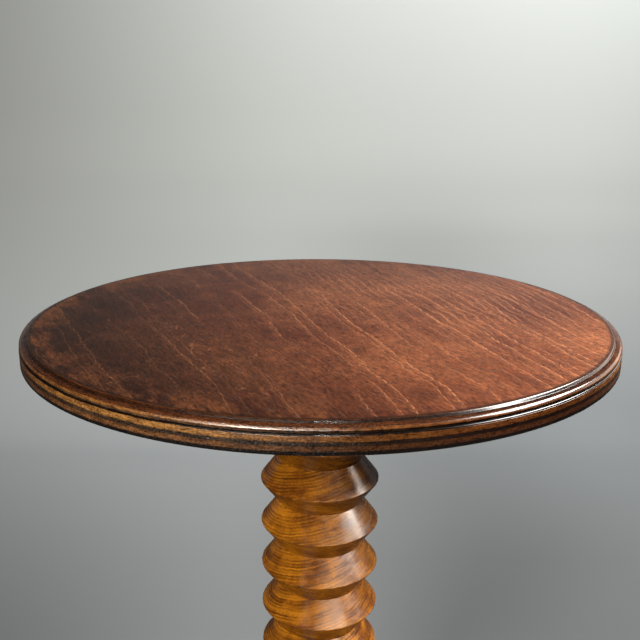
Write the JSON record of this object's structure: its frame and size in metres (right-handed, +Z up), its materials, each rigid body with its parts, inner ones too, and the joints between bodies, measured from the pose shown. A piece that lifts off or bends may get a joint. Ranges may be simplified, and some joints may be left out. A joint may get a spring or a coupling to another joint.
{
  "type": "side table",
  "caption": "Round pedestal side table: thick plywood top with a moulded edge on a turned column of stacked double cones, on a stepped round base with low feet.",
  "frame": {"origin": "centre of the footprint, on the floor, below the column's axis", "axes": "+Z up along the column's axis; -Y towards the picture's camera; the feet stand midway between X and Y"},
  "size_m": [0.59, 0.59, 0.66],
  "materials": {
    "stained_ply": "red-brown stained veneer, satin lacquer",
    "stained_turned_wood": "golden-brown stained, turned, satin lacquer",
    "pale_hardwood": "bare beech",
    "brass_screws": "plain",
    "zinc_steel": "zinc plated",
    "felt": "dark brown pressed felt"
  },
  "bodies": {
    "root": {"base_bolt": "zinc_steel", "base_collar": "stained_turned_wood", "base_step": "stained_ply", "base_washer": "zinc_steel", "cleat_screws": "brass_screws", "column": "stained_turned_wood", "foot_1": "stained_turned_wood", "foot_2": "stained_turned_wood", "foot_3": "stained_turned_wood", "foot_4": "stained_turned_wood", "glide_1": "felt", "glide_2": "felt", "glide_3": "felt", "glide_4": "felt", "plinth": "stained_ply", "plinth_screws": "brass_screws", "table_top": "stained_ply", "tenon_wedge": "pale_hardwood", "top_cleat": "stained_turned_wood"}
  },
  "joints": []
}
